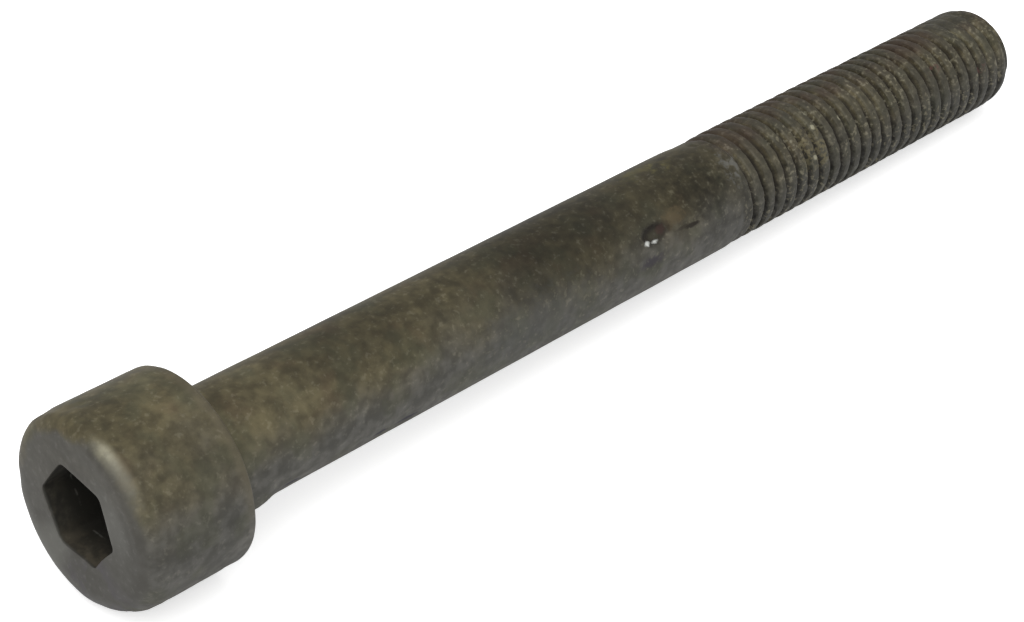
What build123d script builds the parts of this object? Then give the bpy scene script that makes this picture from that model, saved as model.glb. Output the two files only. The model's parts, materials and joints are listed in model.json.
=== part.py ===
"""Hex socket head cap screw, M8 x 80, part threaded, old and knocked about.

The origin is where the screw's axis meets the bearing face under the head, and +X runs towards the
thread. The screw lies on the rim of its head and on the end of its thread, so its axis dips a little.
A station is a distance along the axis from the bearing face, and a turn is an angle about the axis,
right-handed, from straight up.
"""

import os
from math import atan2, ceil, cos, radians, sin, tan

from build123d import *

# Driving dimensions, in millimetres and degrees
shank_diameter = 8.0
under_head_length = 80.0
plain_length = 46.3
head_diameter = 12.8
head_height = 7.7
face_edge_radius = 1.1
bearing_edge_chamfer = 0.3
neck_flare = 0.6
socket_across_flats = 6.02
socket_depth = 4.3
socket_cone_angle = 150.0
socket_turn = 38.4
thread_diameter = 7.9
thread_pitch = 1.25
thread_depth = 0.55
groove_angle = 60.0
end_chamfer_length = 1.3
end_diameter = 6.1
section_turn = 130.0
dent_station = 37.4
dent_turn = 61.0
dent_radius = 2.2
dent_depth = 0.3

head_radius = head_diameter / 2
shank_radius = shank_diameter / 2
thread_radius = thread_diameter / 2
root_radius = thread_radius - thread_depth
end_radius = end_diameter / 2

# The screw lies on the rim of its head and on its last full crest.
rim_station = -bearing_edge_chamfer
last_crest_station = under_head_length - end_chamfer_length
rest_tilt = atan2(head_radius - thread_radius, last_crest_station - rim_station)

along = Vector(cos(rest_tilt), 0, -sin(rest_tilt))
straight_up = Vector(sin(rest_tilt), 0, cos(rest_tilt))
axis = Axis((0, 0, 0), along)


def cross_plane(station, turn):
    """The plane across the axis at a station, with its x pointing out at a turn."""
    return Plane(origin=along * station, x_dir=straight_up.rotate(axis, turn), z_dir=along)


# Half of the long section that the turned surfaces follow: x is the station, and y the radius.
section_out = cross_plane(0, section_turn).x_dir
section_plane = Plane(origin=(0, 0, 0), x_dir=along, z_dir=along.cross(section_out))

# One turn of the thread groove, right-handed, cut a little past the crests. The run-out is left plain.
groove_start = plain_length + thread_pitch
cut_depth = shank_radius - root_radius + thread_pitch / 10
cut_width = 2 * cut_depth * tan(radians(groove_angle / 2))
groove_turns = ceil((under_head_length + cut_width / 2 - groove_start) / thread_pitch)

with BuildPart() as groove_turn:
    with BuildLine():
        groove_path = Helix(
            pitch=thread_pitch,
            height=thread_pitch,
            radius=root_radius,
            center=along * groove_start,
            direction=along,
        )
    groove_out = (groove_path @ 0 - along * groove_start).normalized()
    with BuildSketch(Plane(groove_path @ 0, x_dir=along, z_dir=along.cross(groove_out))):
        with BuildLine():
            Polyline(
                (0, 0),
                (cut_width / 2, cut_depth),
                (-cut_width / 2, cut_depth),
                close=True,
            )
        make_face()
    sweep(path=groove_path, is_frenet=True)

with BuildPart() as cap_screw:
    # Head, neck, plain shank and thread blank, forged and turned as one piece
    with BuildSketch(section_plane):
        with BuildLine():
            head_line = FilletPolyline(
                (-head_height, 0),
                (-head_height, head_radius),
                (-bearing_edge_chamfer, head_radius),
                radius=face_edge_radius,
            )
            Polyline(
                head_line @ 1,
                (0, head_radius - bearing_edge_chamfer),
                (0, shank_radius + neck_flare),
                (neck_flare, shank_radius),
                (plain_length, shank_radius),
                (plain_length, thread_radius),
                (last_crest_station, thread_radius),
                (under_head_length, end_radius),
                (under_head_length, 0),
                head_line @ 0,
            )
        make_face()
    revolve(axis=axis)

    # The thread, one turn of groove after another until it runs out past the end
    with Locations([along * thread_pitch * turn for turn in range(groove_turns)]):
        add(groove_turn.part, mode=Mode.SUBTRACT)

    # Hexagonal socket, and the shallow cone that the punch leaves at its bottom
    with BuildSketch(cross_plane(-head_height, socket_turn)):
        RegularPolygon(radius=socket_across_flats / 2, side_count=6, major_radius=False)
    extrude(amount=socket_depth, mode=Mode.SUBTRACT)
    socket_floor = socket_depth - head_height
    cone_radius = socket_across_flats / 2
    cone_height = cone_radius / tan(radians(socket_cone_angle / 2))
    with BuildSketch(section_plane):
        with BuildLine():
            Polyline(
                (socket_floor, 0),
                (socket_floor, cone_radius),
                (socket_floor + cone_height, 0),
                close=True,
            )
        make_face()
    revolve(axis=axis, mode=Mode.SUBTRACT)

    # Dent knocked into the side of the shank
    dent_reach = shank_radius + dent_radius - dent_depth
    dent_centre = cross_plane(dent_station, dent_turn).from_local_coords((dent_reach, 0, 0))
    with Locations(dent_centre):
        Sphere(dent_radius, mode=Mode.SUBTRACT)

cap_screw.part.label = "cap_screw"

os.makedirs("parts", exist_ok=True)
export_step(cap_screw.part, "parts/cap_screw.step")
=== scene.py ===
"""Looks of an old socket head cap screw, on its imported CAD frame.

Lengths of the screw are in millimetres until its mesh is made. A station is a length along its axis from
the bearing face under the head. A turn is an angle about the axis in degrees, right-handed, from straight
up. Noise is given a size in millimetres in the mesh, and a scale per metre in the shader.
"""

import json
from math import cos, exp, hypot, radians, sin, tan

import bmesh
import bpy
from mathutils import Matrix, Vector, noise


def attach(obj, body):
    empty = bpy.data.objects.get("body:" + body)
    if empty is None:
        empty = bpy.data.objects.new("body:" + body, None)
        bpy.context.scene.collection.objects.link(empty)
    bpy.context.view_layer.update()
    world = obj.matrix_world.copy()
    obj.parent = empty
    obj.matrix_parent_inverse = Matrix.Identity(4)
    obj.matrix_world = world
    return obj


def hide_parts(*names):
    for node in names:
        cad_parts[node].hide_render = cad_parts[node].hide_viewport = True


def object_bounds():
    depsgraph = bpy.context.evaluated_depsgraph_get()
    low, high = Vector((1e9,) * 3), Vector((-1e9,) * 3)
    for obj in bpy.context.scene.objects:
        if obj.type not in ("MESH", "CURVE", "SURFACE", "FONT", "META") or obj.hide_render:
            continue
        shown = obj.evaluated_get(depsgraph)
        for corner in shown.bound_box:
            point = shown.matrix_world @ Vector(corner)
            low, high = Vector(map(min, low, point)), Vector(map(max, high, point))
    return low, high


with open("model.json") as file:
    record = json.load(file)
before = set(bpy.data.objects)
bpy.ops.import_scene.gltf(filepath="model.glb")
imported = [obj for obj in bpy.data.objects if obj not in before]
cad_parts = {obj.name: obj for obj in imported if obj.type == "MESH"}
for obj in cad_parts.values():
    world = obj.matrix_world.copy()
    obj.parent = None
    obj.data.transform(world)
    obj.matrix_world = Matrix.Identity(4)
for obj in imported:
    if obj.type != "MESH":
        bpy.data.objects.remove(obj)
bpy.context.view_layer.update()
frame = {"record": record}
mounts = {mount["name"]: mount for mount in frame["record"]["mounts"]}

# The screw. One piece of heat-treated alloy steel, forged at the head and rolled at the thread. Years of
# use have rounded its edges, knocked a dent into the shank and packed the thread with dirt.
along = Vector(mounts["bearing_face"]["axis"]).normalized()
sideways = Vector((0, 1, 0))
upward = along.cross(sideways)
worn_off = 0.014
head_radius = mounts["head"]["dims"]["r_mm"] - worn_off
shank_radius = mounts["shank"]["dims"]["r_mm"]
face_station = -1000 * Vector(mounts["hex_socket"]["pos_m"]).length
end_station = 80.0


def turn_off(turn, middle):
    """How far a turn is from the middle one, from -180 to 180 degrees."""
    return (turn - middle + 180) % 360 - 180


def near_turn(turn, middle, reach):
    """1 at the middle turn, falling smoothly to 0 at the reach on either side of it."""
    share = turn_off(turn, middle) / reach
    return max(1 - share * share, 0) ** 2


def part_way(value, start, length):
    """0 up to the start, 1 past the length from there, and even between."""
    return min(max((value - start) / length, 0), 1)


def outward(turn):
    """The direction straight out from the axis at this turn."""
    return upward * cos(radians(turn)) - sideways * sin(radians(turn))


def wander(station, turn, size, seed=0.0):
    """Smooth noise from -1 to 1 on the surface, with features of about this size."""
    point = along * station + outward(turn) * shank_radius
    return noise.noise(point / size + Vector((seed, seed, seed)))


# The hexagonal socket in the head, punched a little off the axis
socket_depth = 4.3
socket_floor = face_station + socket_depth
socket_cone = 150
socket_apothem = 2.98
socket_corner_round = 0.6
socket_corner_turn = 38.4
socket_lip = 0.035
socket_off_axis = 0.17
grime_underneath = 0.16
grime_elsewhere = 0.05


def socket_radius(turn):
    """How far the socket's wall is from the axis: six flats with rounded corners between them, and a
    lining of grime, thickest underneath."""
    from_flat = abs((turn - socket_corner_turn) % 60 - 30)
    round_middle = (socket_apothem - socket_corner_round) / cos(radians(30))
    off_middle = round_middle * sin(radians(30 - from_flat))
    if off_middle < socket_corner_round * sin(radians(30)):
        past_middle = (socket_corner_round**2 - off_middle**2) ** 0.5
        wall = round_middle * cos(radians(30 - from_flat)) + past_middle
    else:
        wall = socket_apothem / cos(radians(from_flat))
    off_axis = socket_off_axis * cos(radians(turn - 335))
    grime = grime_elsewhere + grime_underneath * near_turn(turn, 135, 100)
    return wall + off_axis - grime


# The head, which is chipped round its front edge and rough towards its bearing edge
chipped_length = 2.2
chipped_outside = 4.9
deep_chips = ((268, 9, 0.16), (229, 8, 0.13))
deep_chips_outside = 5.8
rough_length = 1.2
rough_outside = 5.5


def edge_round(turn):
    """The radius on the front edge of the head, more worn underneath."""
    return 1.1 + 0.75 * near_turn(turn, 140, 56)


def rim_round(turn):
    """The radius on the bearing edge of the head, which is burred on one side."""
    return 0.22 - 0.14 * near_turn(turn, 108, 26)


def neck_round(turn):
    """The radius where the head meets the shank, fuller underneath where grime has filled it."""
    return 0.6 + 1.1 * near_turn(turn, 122, 60)


# The thread, whose blank rounds off at the far end, and which has a crust of dirt along its upper side
crest_radius = mounts["thread"]["dims"]["r_mm"]
end_radius = 3.0
end_rounding = 2.2
end_curve = 2.8
thread_start = 46.3
run_in = 0.45
thread_zone = thread_start - run_in
pitch = 1.25
cut_depth = 0.54
half_cut = 0.30
shoulder_depth = 0.13
half_shoulder = 0.55
crust_turn = 340
crust_reach = 70
crust_height = 0.07
pit_depth = 0.07


def blank_radius(station):
    """The radius over the thread's crests."""
    past = max(station - (end_station - end_rounding), 0) / end_rounding
    return crest_radius - (crest_radius - end_radius) * past**end_curve


def groove_depth(station, turn):
    """How deep the thread is cut between its wide worn crests. Dirt fills its groove here and there, and
    it fades in from the shank and out towards the far end."""
    turns = (station - thread_start) / pitch - turn / 360
    groove = round(turns)
    across = abs(turns - groove + 0.05 * wander(station, turn, 0.9)) * pitch
    crusted = near_turn(turn, crust_turn, crust_reach)
    fade_in = part_way(groove + turn / 360, 0.2, 1.3)
    fade_out = 1 - (0.45 + 0.4 * crusted) * part_way(station, 75.5 - 5 * crusted, 3)
    clean = 0.97 + 0.65 * wander(station, turn, 3.4, 5.0) + 0.25 * wander(station, turn, 1.3, 9.0)
    clean = min(max(clean - 0.35 * crusted, 0.3), 1.1)
    cut = cut_depth * clean * max(1 - (across / half_cut) ** 1.5, 0)
    shoulder = shoulder_depth * max(1 - across / half_shoulder, 0) ** 2
    return (cut + shoulder) * fade_in * fade_out


# The dent in the shank and the nicks along its low side, each at a station and a turn
dent = (37.6, 60)
nicks = ((5.2, 124), (12.3, 120), (14.5, 120))


def dip(station, turn, at, length, width, depth):
    """A shallow knock centred on one station and turn, or a lump if its depth is below 0."""
    ahead = (station - at[0]) / length
    aside = turn_off(turn, at[1]) * radians(shank_radius) / width
    return depth * exp(-((ahead * ahead + aside * aside) ** 1.5))


def dent_depth(station, turn):
    """The dent, with its raised rim, and the scratch beside it that deepens away from it."""
    ahead = station - dent[0]
    aside = turn_off(turn, dent[1]) * radians(shank_radius)
    off_bowl = hypot((ahead - aside * 0.4) / 1.45, aside / (0.66 if aside < 0 else 0.95))
    bowl = 0.36 * max(1 - off_bowl**3, 0)
    raised_rim = 0.05 * exp(-((off_bowl - 1.25) / 0.2) ** 2)
    scratch = Vector((2.9, 0.35))
    from_start = Vector((ahead - 1.5, aside - 0.15))
    share = min(max(from_start.dot(scratch) / scratch.length_squared, 0), 1)
    off_scratch = (from_start - scratch * share).length
    return bowl - raised_rim + max(0.16 * (1 - off_scratch / 0.3), 0) * (0.35 + 0.65 * share)


def knocks(station, turn):
    """How deep the dent, the nicks and the uneven places go."""
    depth = dent_depth(station, turn)
    for at, length, nick_depth in zip(nicks, (0.9, 0.7, 1.2), (0.06, 0.05, 0.06)):
        depth += dip(station, turn, at, length, 0.4, nick_depth)
    lump_by_dent = dip(station, turn, (39.6, 60), 0.9, 0.45, -0.06)
    smudge = dip(station, turn, (36.8, 86), 1.2, 0.6, 0.09)
    waist = dip(station, turn, (46.6, 322), 1.3, 3.2, 0.09)
    broken_end = dip(station, turn, (80.2, 138), 1.4, 2.0, 0.35)
    neck_grime = dip(station, turn, (2.4, 128), 1.3, 1.7, -0.28)
    return depth + lump_by_dent + smudge + waist + broken_end + neck_grime


def worn_radius(station, radius, turn):
    """The radius that is left of one where the head is chipped, the shank knocked or the thread cut."""
    if station < face_station + chipped_length and radius > chipped_outside:
        chips = max(wander(station, turn, 1.0, 3.0), 0) * (radius - chipped_outside) * 0.13
        if radius > deep_chips_outside:
            chips += sum(depth * near_turn(turn, middle, reach) for middle, reach, depth in deep_chips)
        return radius - chips
    if station <= 0:
        if radius < rough_outside:
            return radius
        rough = 0.1 if station > -rough_length else 0.015 + 0.05 * near_turn(turn, 140, 60)
        return radius - max(wander(station, turn, 1.1, 4.0), 0) * rough
    uneven_wear = 0.012 * (1 + wander(station, turn, 2.4))
    depth = knocks(station, turn) + uneven_wear
    if station >= thread_zone:
        threaded = part_way(station, thread_start - 0.3, 0.5)
        pits = pit_depth * max(wander(station, turn, 0.7, 7.0), 0)
        crust = crust_height * near_turn(turn, crust_turn, crust_reach) * threaded
        depth += groove_depth(station, turn) + pits - crust
        radius = shank_radius * (1 - threaded) + radius * threaded
    return radius - depth * min(radius / blank_radius(station), 1)


def point_gap(station):
    """The gap between points along the plain shank, least over the dent and small over the nicks."""
    if 35.7 < station < 42.6:
        return 0.13
    if 3 < station < 6 or 10 < station < 17:
        return 0.3
    return 0.5


past_neck = 1.8
plain_stations = []
station = past_neck
while station < thread_zone - 0.1:
    station = min(station + point_gap(station), thread_zone)
    plain_stations.append(station)


def outline(turn):
    """The screw's outline at one turn before wear, as stations and radii. It runs from the middle of the
    socket's floor over the head and along the shank to the middle of the far end."""
    wall = socket_radius(turn)
    edge = edge_round(turn)
    rim = rim_round(turn)
    neck = neck_round(turn)
    cone_rise = socket_apothem / tan(radians(socket_cone / 2))
    socket_mouth = face_station + 0.1
    points = [(socket_floor + cone_rise * (1 - share), wall * share) for share in (0, 0.2, 0.4, 0.6, 0.8, 1)]
    points += [(socket_floor + (socket_mouth - socket_floor) * step / 11, wall) for step in range(1, 12)]
    for lean in (0, 45, 90):
        inset = socket_lip * (1 - cos(radians(lean)))
        points.append((face_station + socket_lip * (1 - sin(radians(lean))), wall + inset))
    for step in range(1, 10):
        points.append((face_station, (wall + socket_lip) * (1 - step / 9) + (head_radius - edge) * step / 9))
    for lean in range(8, 91, 8):
        inset = edge * (1 - sin(radians(lean)))
        points.append((face_station + edge * (1 - cos(radians(lean))), head_radius - inset))
    for step in range(19):
        points.append(((face_station + edge) * (1 - step / 18) - rim * step / 18, head_radius))
    for lean in (22, 45, 68, 90):
        inset = rim * (1 - cos(radians(lean)))
        points.append((-rim * (1 - sin(radians(lean))), head_radius - inset))
    for share in (0.35, 0.7):
        points.append((0, (head_radius - rim) * (1 - share) + (shank_radius + neck) * share))
    for lean in (0, 18, 36, 54, 72, 90):
        outset = neck * (1 - sin(radians(lean)))
        points.append((neck * (1 - cos(radians(lean))), shank_radius + outset))
    points += [(station, shank_radius) for station in plain_stations]

    # The thread's points follow its helix, and are held back to the plain shank and to the flat end.
    last_groove = round((end_station - thread_start) / pitch)
    for groove in range(-1, last_groove + 1):
        for phase in (-0.5, -0.38, -0.29, -0.22, -0.15, -0.08, 0, 0.08, 0.15, 0.22, 0.29, 0.38):
            station = thread_start + pitch * (groove + phase + turn / 360)
            station = min(max(station, thread_zone), end_station)
            points.append((station, blank_radius(station)))
    points += [(end_station, end_radius * share) for share in (0.85, 0.55, 0.3, 0)]
    return points


# Columns of points stand every 2 degrees round the axis, one of them in each corner of the socket.
column_gap = 2.0
first_turn = socket_corner_turn % column_gap
mesh = bmesh.new()
columns = []
for count in range(round(360 / column_gap) + 1):
    turn = first_turn + column_gap * count
    column = []
    for station, radius in outline(turn):
        point = along * station + outward(turn) * worn_radius(station, radius, turn)
        column.append(mesh.verts.new(point / 1000))
    columns.append(column)
for column, following in zip(columns, columns[1:]):
    for row in range(len(column) - 1):
        mesh.faces.new((column[row], following[row], following[row + 1], column[row + 1]))
bmesh.ops.remove_doubles(mesh, verts=mesh.verts, dist=1e-6)
bmesh.ops.recalc_face_normals(mesh, faces=mesh.faces)
data = bpy.data.meshes.new("worn_cap_screw")
mesh.to_mesh(data)
mesh.free()
data.shade_smooth()
data.set_sharp_from_angle(angle=radians(38))
screw = bpy.data.objects.new("worn_cap_screw", data)
bpy.context.scene.collection.objects.link(screw)
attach(screw, "root")
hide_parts("cap_screw")

# The screw's skin. Black oxide from a hot bath, worn to a mottled olive brown where it faces up. Below it
# is a plainer grey, partly a painted reflection of the pale floor.
steel = bpy.data.materials.new("blackened_steel_worn")
steel.use_nodes = True


class Wire:
    """A value in a shader. Sums, products and powers of wires become Math nodes in the same tree."""

    def __init__(self, tree, socket=None):
        self.tree = tree
        self.socket = socket

    def node(self, kind, settings, values, output=0):
        """A new node's output. Its inputs take numbers, tuples or wires, by name or by place."""
        made = self.tree.nodes.new(kind)
        for name, setting in settings.items():
            setattr(made, name, setting)
        for name, value in values.items():
            if isinstance(value, Wire):
                self.tree.links.new(value.socket, made.inputs[name])
            else:
                made.inputs[name].default_value = value
        return Wire(self.tree, made.outputs[output])

    def feed(self, shader, name):
        """Plug this value into the shader's input of that name."""
        self.tree.links.new(self.socket, shader.inputs[name])

    def maths(self, operation, *others):
        """A Math node that takes this value first, and then the others."""
        return self.node("ShaderNodeMath", {"operation": operation}, dict(enumerate((self, *others))))

    def __add__(self, other):
        return self.maths("ADD", other)

    def __sub__(self, other):
        return self.maths("SUBTRACT", other)

    def __rsub__(self, other):
        return self.node("ShaderNodeMath", {"operation": "SUBTRACT"}, {0: other, 1: self})

    def __mul__(self, other):
        return self.maths("MULTIPLY", other)

    def __truediv__(self, other):
        return self.maths("DIVIDE", other)

    def __pow__(self, other):
        return self.maths("POWER", other)

    __radd__ = __add__
    __rmul__ = __mul__

    def ramp(self, none, full):
        """0 where this value is at none, 1 where it is at full, and smooth between."""
        settings = {"interpolation_type": "SMOOTHSTEP"}
        return self.node("ShaderNodeMapRange", settings, {"Value": self, "From Min": none, "From Max": full})

    def mix(self, under, over):
        """The colour under where this value is 0, and the colour over where it is 1."""
        settings = {"data_type": "RGBA"}
        return self.node("ShaderNodeMix", settings, {0: self, 6: under, 7: over}, 2)

    def noise(self, scale, detail, offset=0.0):
        """Noise at this place, with features about a metre over the scale in size."""
        moved = self.node("ShaderNodeVectorMath", {"operation": "ADD"}, {0: self, 1: (offset, 0, 0)})
        return self.node("ShaderNodeTexNoise", {}, {"Vector": moved, "Scale": scale, "Detail": detail})

    def dot(self, direction):
        """How far this place lies in the direction."""
        settings = {"operation": "DOT_PRODUCT"}
        return self.node("ShaderNodeVectorMath", settings, {0: self, 1: direction}, 1)

    def scaled(self, factor):
        """This colour made lighter or darker."""
        settings = {"operation": "SCALE"}
        return self.node("ShaderNodeVectorMath", settings, {0: self, "Scale": factor})


spot = Wire(steel.node_tree).node("ShaderNodeTexCoord", {}, {}, "Object")
station = spot.dot(along * 1000)
height = spot.dot(upward * 1000)
across = spot.dot(sideways * -1000)
radius = (height * height + across * across).maths("SQRT")
turn = across.maths("ARCTAN2", height) * (1 / radians(1))

blotches = spot.noise(210, 3)
mottle = spot.noise(560, 4, 0.1)
dapple = spot.noise(1300, 3, 0.15)
grain = spot.noise(1700, 4, 0.2)
dust = spot.noise(3600, 3, 0.3)


def facing(at_turn):
    """1 on the side of the screw at this turn, 0 at right angles to it, and -1 on the far side."""
    return (height * cos(radians(at_turn)) + across * sin(radians(at_turn))) / radius


def patch(at_station, at_turn, length, width, ragged=0.0, soft=0.45):
    """1 in the middle of a patch of the surface, and 0 past its length and width on either side."""
    ahead = (station - at_station) / length
    aside = (turn - at_turn) * radius * (radians(1) / width)
    off = (ahead * ahead + aside * aside).maths("SQRT")
    return (off + (grain * 0.5 + dust * 0.5 - 0.5) * ragged).ramp(1, soft)


# Brown where the skin faces up and grey below, the grey partly a painted reflection of the pale floor.
upper = (height / radius + (blotches - 0.5) * 1.2).ramp(-0.13, 0.95)
dark_brown = (0.077, 0.065, 0.036, 1)
pale_brown = (0.130, 0.111, 0.060, 1)
brown = (mottle * 0.35 + dapple * 0.35 + grain * 0.3).ramp(0.36, 0.64).mix(dark_brown, pale_brown)
dark_grey = (0.086, 0.083, 0.072, 1)
pale_grey = (0.122, 0.118, 0.106, 1)
grey = (mottle * 0.4 + dapple * 0.6).ramp(0.38, 0.64).mix(dark_grey, pale_grey)
skin = upper.mix(grey, brown)
mossy = spot.noise(430, 3, 0.5).ramp(0.48, 0.66)
moss = (0.080, 0.082, 0.050, 1)
skin = (mossy * 0.4).mix(skin, moss)
rusty = spot.noise(380, 3, 0.6).ramp(0.54, 0.70) * upper
rust = (0.112, 0.078, 0.046, 1)
skin = (rusty * 0.4).mix(skin, rust)
specks = (dust * 0.6 + grain * 0.4).ramp(0.54, 0.66)
cream_dust = (0.24, 0.22, 0.15, 1)
skin = (specks * (0.12 + 0.1 * station.ramp(12, 26))).mix(skin, cream_dust)

# How dark the skin is, from place to place. It is darkest over the upper side halfway along the shank,
# and its darkening falls mostly on the upper side as painted shade.
behind_head = 0.20 * station.ramp(5, 12) * station.ramp(17.5, 14) * facing(-40).ramp(0.14, 0.5)
darkness = (0.14 + behind_head) * station.ramp(4, 11) + 0.42 * station.ramp(20, 27.5)
darkness = darkness - 0.14 * station.ramp(33, 37) - 0.08 * station.ramp(42, 45)
darkness = darkness - 0.20 * station.ramp(46, 49)
# The lower side is spared most of the darkening, which leaves painted shade on the upper side.
lower_side = (height / radius).ramp(0.85, -0.05)
tone = 1 - darkness * (1 - 0.85 * lower_side)

# Painted highlights. Paler bands run along the near side, along the low side and along the far side.
near_painted_highlight = 0.18 * facing(63).ramp(0.906, 0.999)
low_painted_highlight = 0.14 * facing(150).ramp(0.57, 0.79)
far_painted_highlight = 0.16 * facing(-70).ramp(0.26, 0.57)
tone = tone * (0.94 + near_painted_highlight + low_painted_highlight + far_painted_highlight)

# The thread's crests have a painted highlight on the near side and painted shade on the low and far sides,
# and are rougher than the shank.
on_thread = station.ramp(thread_start - 0.1, thread_start + 1.1)
lit_crests = 0.26 * facing(35).ramp(0.891, 0.996)
shaded = 0.30 * facing(150).ramp(0.21, 0.70) + 0.2 * facing(-70).ramp(0.10, 0.5)
rough_crests = 1.1 * (grain + dust - 1)
tone = tone * (1 + on_thread * (lit_crests - shaded - 0.17 + rough_crests))

# Single patches. Each says how much lighter it is, and then its station, turn, length and width, how
# ragged it is and how soft at its edge.
tone_patches = (
    (0.30, -2.0, 5, 2.4, 5.0, 1.2, 0.1),
    (-0.16, -5.4, 15, 1.7, 3.6, 1.2, 0.1),
    (0.30, 5.2, -8, 3.2, 1.7, 1.2, 0.1),
    (-0.20, 43.0, 42, 3.6, 2.6, 1.6, 0.2),
    (-0.18, 45.0, 85, 4.2, 4.2, 1.2, 0.3),
    (-0.12, -4.0, 47, 2.6, 2.4, 1.2, 0.2),
    (0.20, -0.6, 102, 1.6, 2.6, 1.2, 0.2),
    (-0.07, 42.5, 10, 4, 5, 1.2, 0.2),
)
for lighter, *shape in tone_patches:
    tone = tone + lighter * patch(*shape)
tone = tone - 0.09 * facing(85).ramp(0.4, 0.9) * station.ramp(0.4, -0.4)
mottling = dapple * 0.42 + mottle * 0.33 + blotches * 0.25
skin = skin.scaled(tone * (0.48 + 1.04 * mottling))
bluish_grey = (0.104, 0.107, 0.104, 1)
skin = (patch(26, 84, 8, 2.6, 1.5, 0.1) * 0.35).mix(skin, bluish_grey)

# Stains and knocks along the shank. The dent has painted shadow under its upper edge and painted glints
# at its low edge.
stained = (patch(40.2, -10, 2.4, 1.1, 3.5) + patch(43.3, -6, 2.2, 1.2, 3.5)) * mottle.ramp(0.42, 0.62)
yellow_stain = (0.135, 0.118, 0.048, 1)
skin = (stained * 0.6).mix(skin, yellow_stain)
lump_brown = (0.125, 0.095, 0.052, 1)
skin = (patch(39.4, 54, 1.9, 0.8, 2.4, 0.2) * 0.65).mix(skin, lump_brown)
smudge_purple = (0.040, 0.033, 0.048, 1)
skin = (patch(36.9, 86, 1.7, 0.6, 1.8, 0.2) * 0.65).mix(skin, smudge_purple)
# Painted shadow in the dent's bowl, left darkest under its upper edge.
dent_painted_shadow = (0.016, 0.012, 0.009, 1)
skin = (patch(37.6, 59.5, 1.75, 0.95, 0.8) * 0.92).mix(skin, dent_painted_shadow)
dent_olive = (0.062, 0.056, 0.038, 1)
skin = (patch(37.65, 62, 1.1, 0.6, 1.4, 0.2) * 0.9).mix(skin, dent_olive)
dent_rust = (0.065, 0.036, 0.030, 1)
skin = (patch(38.3, 59, 0.5, 0.45, 1.2) * 0.6).mix(skin, dent_rust)
scratched = patch(40.2, 67.5, 1.0, 0.14, 1.6) * 0.5 + patch(41.1, 69.8, 0.9, 0.2, 1.2)
scratch_black = (0.018, 0.014, 0.010, 1)
skin = (scratched.maths("MINIMUM", 1) * 0.85).mix(skin, scratch_black)
# Painted glints at the dent's low edge.
painted_glints = patch(36.6, 65.9, 0.5, 0.2, 1.8, 0.2) + patch(37.5, 68.0, 0.42, 0.17, 1.8, 0.2) * 0.8
glint_white = (0.80, 0.82, 0.78, 1)
skin = painted_glints.maths("MINIMUM", 1).mix(skin, glint_white)
nick_sizes = ((1.0, 0.24), (0.8, 0.22), (1.4, 0.24))
nicked = sum(patch(*nick, *size, 1.2) for nick, size in zip(nicks, nick_sizes))
nick_navy = (0.016, 0.014, 0.030, 1)
skin = (nicked * 0.85).mix(skin, nick_navy)

# The thread. Its crests are worn paler, the groove is painted near-black for brown dirt and painted shade
# together, and grit and bits of rust are stuck here and there.
past = (station - (end_station - end_rounding)).maths("MAXIMUM", 0) * (1 / end_rounding)
sunk = crest_radius - past**end_curve * (crest_radius - end_radius) - radius
in_groove = on_thread * sunk.ramp(0.15, 0.49) * station.ramp(end_station - 0.03, end_station - 0.2)
on_crest = on_thread * sunk.ramp(0.17, 0.09) * station.ramp(end_station - 1, end_station - 3)
crest_olive = (0.074, 0.070, 0.055, 1)
skin = (on_crest * 0.5).mix(skin, crest_olive)
# Near-black in the groove for dirt and painted shade together, with paler dry dirt where it faces up and
# away.
groove_dirt_and_shade_black = (0.018, 0.014, 0.010, 1)
dry_dirt = (0.036, 0.027, 0.016, 1)
groove_dirt_and_shade = facing(-60).ramp(-0.17, 0.64).mix(groove_dirt_and_shade_black, dry_dirt)
skin = (in_groove * 0.88).mix(skin, groove_dirt_and_shade)
gritty = on_thread * dust.ramp(0.55, 0.64) * spot.noise(420, 3, 0.8).ramp(0.42, 0.58)
grit = (0.21, 0.19, 0.13, 1)
skin = (gritty * facing(80).ramp(0, 0.5) * 0.65).mix(skin, grit)
streaked = patch(46.8, 36, 1.3, 2.0, 3.0) * grain.ramp(0.45, 0.6)
rubbed_steel = (0.170, 0.170, 0.160, 1)
skin = (streaked * 0.6).mix(skin, rubbed_steel)
reddish = on_thread * facing(-50).ramp(0.17, 0.57) * spot.noise(300, 3, 0.9).ramp(0.4, 0.6)
red_rust = (0.072, 0.043, 0.030, 1)
skin = (reddish * 0.45).mix(skin, red_rust)
lumpy = (patch(55.6, 62, 1.2, 2.4, 4.0) + patch(54.0, 58, 1.0, 2.2, 4.0)) * dust.ramp(0.44, 0.58)
clay = (0.185, 0.160, 0.090, 1)
skin = (lumpy.maths("MINIMUM", 1) * 0.7).mix(skin, clay)
crumbs = ((56.2, 20, 0.35, 0.35), (55.7, 38, 0.25, 0.25), (58.7, 42, 0.3, 0.3), (54.7, 68, 0.3, 0.25))
crumbly = sum(patch(*crumb, 2.0) for crumb in crumbs)
pale_crumb = (0.40, 0.38, 0.27, 1)
skin = (crumbly.maths("MINIMUM", 1) * 0.8).mix(skin, pale_crumb)
pinkish = (patch(70.3, 43, 0.9, 0.5, 3.0) + patch(75.7, 68, 0.5, 0.4, 3.0)) * grain.ramp(0.42, 0.58)
pink_rust = (0.21, 0.10, 0.09, 1)
skin = (pinkish.maths("MINIMUM", 1) * 0.6).mix(skin, pink_rust)

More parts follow.
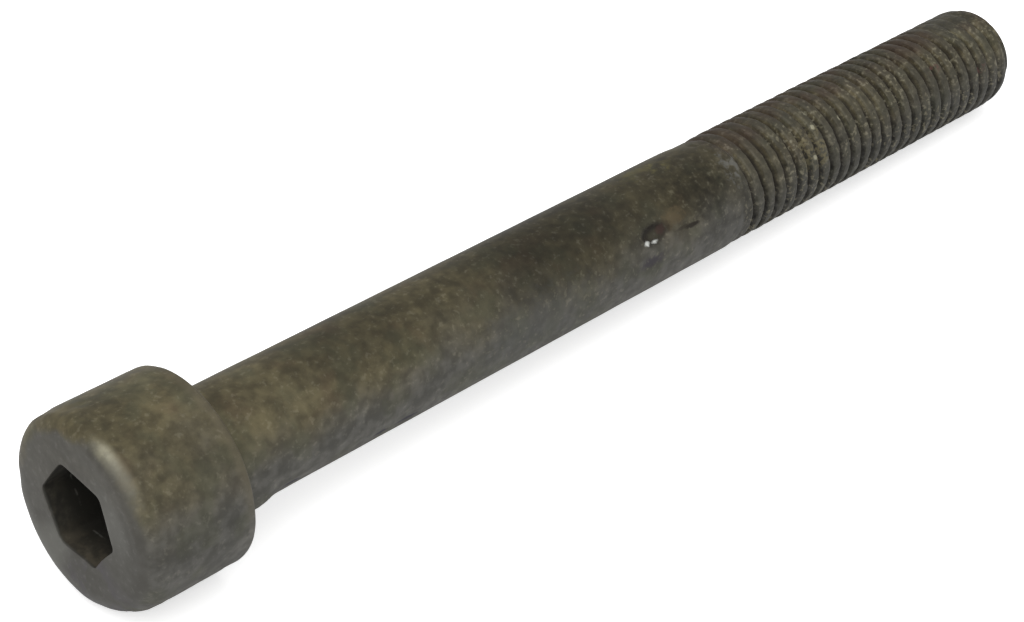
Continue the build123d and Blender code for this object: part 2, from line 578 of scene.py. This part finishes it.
# The head's face and edges. Handling has rubbed them to a plain grey. A painted highlight lies on one place
# of the front edge, with a painted sheen on the face beside the socket and painted light on the rear rim.
upper_left = turn.ramp(25, -10) * turn.ramp(-125, -70)
on_face = (radius + (mottle - 0.5) * 1.4 + 0.6 * upper_left).ramp(6.45, 5.75)
on_face = on_face * station.ramp(face_station + 0.75, face_station + 0.15)
dark_face = (0.079, 0.075, 0.065, 1)
pale_face = (0.106, 0.102, 0.091, 1)
face_grey = (blotches * 0.4 + mottle * 0.3 + grain * 0.3).ramp(0.38, 0.62).mix(dark_face, pale_face)
skin = (on_face * 0.9).mix(skin, face_grey)
front = station.ramp(face_station + 1.2, face_station + 0.5)
sheen = front * turn.ramp(20, 60) * turn.ramp(115, 70) * radius.ramp(5.0, 4.1)
sheen_grey = (0.155, 0.153, 0.138, 1)
skin = (sheen * 0.6).mix(skin, sheen_grey)
lower_left = front * turn.ramp(-110, -135) * turn.ramp(-165, -145)
chipped_grey = (0.185, 0.185, 0.165, 1)
skin = (lower_left * 0.55).mix(skin, chipped_grey)
pale_rim = front * radius.ramp(4.6, 5.6) * facing(-145).ramp(0.26, 0.82)
rim_grey = (0.20, 0.20, 0.185, 1)
skin = (pale_rim * 0.45).mix(skin, rim_grey)
on_edge = radius.ramp(5.6, 6.1) * front
# A painted highlight on the front edge, and its fainter painted continuation along the edge.
front_edge_highlight = patch(face_station + 0.42, 24, 0.9, 1.7, 0.8, 0.0) * on_edge
highlight_cream = (0.275, 0.258, 0.182, 1)
skin = (front_edge_highlight * (0.55 + 0.5 * grain.ramp(0.4, 0.6))).mix(skin, highlight_cream)
highlight_fade = patch(face_station + 0.45, 36, 1.0, 3.6, 1.2, 0.0) * on_edge
highlight_fade_grey = (0.185, 0.180, 0.145, 1)
skin = (highlight_fade * 0.6).mix(skin, highlight_fade_grey)
low_edge = front * (turn.ramp(120, 150) + turn.ramp(-150, -170)) * mottle.ramp(0.42, 0.58)
purple_grey = (0.098, 0.088, 0.110, 1)
skin = (low_edge * 0.4).mix(skin, purple_grey)
# Painted light on the rear rim, lifting the shade on its rounding.
rear_rim_painted_light = station.ramp(-1.0, -0.25) * radius.ramp(5.4, 6.1) * turn.ramp(-70, -20) * turn.ramp(105, 75)
rear_rim_light_brown = (0.150, 0.130, 0.088, 1)
skin = (rear_rim_painted_light * 0.5).mix(skin, rear_rim_light_brown)

# The socket. Old grease and painted shade blacken it, but for some brown on its walls, painted light on its
# lower walls and a thin painted glint round them.
in_mouth = station.ramp(face_station + 0.02, face_station + 0.25)
in_socket = radius.ramp(3.9, 3.65) * in_mouth * station.ramp(-2, -2.6)
# Near-black for old grease and the painted shade inside the socket.
grease_and_painted_shade_black = (0.015, 0.0135, 0.009, 1)
skin = in_socket.mix(skin, grease_and_painted_shade_black)
brown_wall = in_socket * station.ramp(face_station + 1.8, face_station + 0.4)
wall_olive = (0.064, 0.056, 0.038, 1)
skin = (brown_wall * (mottle * 0.5 + grain * 0.5).ramp(0.42, 0.62) * 0.6).mix(skin, wall_olive)
# Painted light in brown on the lower walls, which face up.
lit_lower_wall = in_socket * station.ramp(face_station + 2.4, face_station + 0.6) * facing(170).ramp(0.26, 0.94)
painted_light_brown = (0.070, 0.058, 0.038, 1)
skin = (lit_lower_wall * (0.25 + 0.6 * dapple.ramp(0.4, 0.6))).mix(skin, painted_light_brown)
# A thin painted glint round the walls.
painted_glint_line = in_socket * (station - (face_station + 2)).maths("ABSOLUTE").ramp(0.09, 0.03)
glint_grey = (0.14, 0.14, 0.12, 1)
skin = (painted_glint_line * grain.ramp(0.46, 0.6) * 0.45).mix(skin, glint_grey)

shader = steel.node_tree.nodes["Principled BSDF"]
skin.feed(shader, "Base Color")
dirty = in_groove.maths("MAXIMUM", in_socket)
roughness = 0.50 + mottle * 0.16 + dirty * 0.2 - front_edge_highlight * 0.1
roughness.feed(shader, "Roughness")
bare = 0.65 - dirty * 0.5 - specks * 0.3
bare.feed(shader, "Metallic")
relief = mottle * 0.5 + grain * 0.4 + dust * 0.1
bump = relief.node("ShaderNodeBump", {}, {"Height": relief, "Strength": 0.3, "Distance": 0.00007})
bump.feed(shader, "Normal")
screw.data.materials.append(steel)

# The floor. A wide sheet of pale paper that the screw lies on. It glows a little to the camera alone, so
# that it stays near white and still takes the screw's soft shadow.
floor_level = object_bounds()[0][2]
reach = 3.0
corners = [(x * reach, y * reach, floor_level) for x, y in ((-1, -1), (1, -1), (1, 1), (-1, 1))]
floor_data = bpy.data.meshes.new("floor")
floor_data.from_pydata(corners, [], [(0, 1, 2, 3)])
floor = bpy.data.objects.new("floor", floor_data)
bpy.context.scene.collection.objects.link(floor)
paper = bpy.data.materials.new("pale_paper")
paper.use_nodes = True
paper_shader = paper.node_tree.nodes["Principled BSDF"]
paper_shader.inputs["Base Color"].default_value = (0.86, 0.86, 0.86, 1)
paper_shader.inputs["Roughness"].default_value = 0.9
paper_shader.inputs["Specular IOR Level"].default_value = 0.1
seen_paper = Wire(paper.node_tree).node("ShaderNodeLightPath", {}, {}, "Is Camera Ray")
unlit = (0, 0, 0, 1)
faint_glow = (0.6, 0.6, 0.6, 1)
seen_paper.mix(unlit, faint_glow).feed(paper_shader, "Emission Color")
paper_shader.inputs["Emission Strength"].default_value = 1
floor_data.materials.append(paper)

# The light. A broad soft box hangs above the near side of the head, and the room all round is an even
# grey that the camera sees as white.
room = bpy.data.worlds.new("room")
room.use_nodes = True
bpy.context.scene.world = room
background = room.node_tree.nodes["Background"]
seen_room = Wire(room.node_tree).node("ShaderNodeLightPath", {}, {}, "Is Camera Ray")
even_grey = (0.55, 0.55, 0.55, 1)
white = (1, 1, 1, 1)
seen_room.mix(even_grey, white).feed(background, "Color")
background.inputs["Strength"].default_value = 1

lamp_data = bpy.data.lights.new("soft_box", "AREA")
lamp_data.shape = "SQUARE"
lamp_data.size = 0.7
lamp_data.energy = 2.7
lamp = bpy.data.objects.new("soft_box", lamp_data)
lamp.location = (-0.12, -0.16, 0.48)
middle_of_screw = Vector((0.035, 0, 0))
lamp.rotation_euler = (middle_of_screw - lamp.location).to_track_quat("-Z", "Y").to_euler()
bpy.context.scene.collection.objects.link(lamp)

# The camera. It looks down along the screw from beyond its head and a little to the side, through a
# fairly long lens.
camera_data = bpy.data.cameras.new("camera")
camera_data.sensor_width = 36
camera_data.lens = 82.2
camera_data.clip_start = 0.01
camera = bpy.data.objects.new("camera", camera_data)
camera.location = (-0.064826, -0.089876, 0.082871)
downward = 33.44
sideward = 45.729
camera.rotation_euler = (radians(90 - downward), 0, radians(-sideward))
bpy.context.scene.collection.objects.link(camera)
bpy.context.scene.camera = camera
bpy.context.scene.view_settings.view_transform = "Standard"
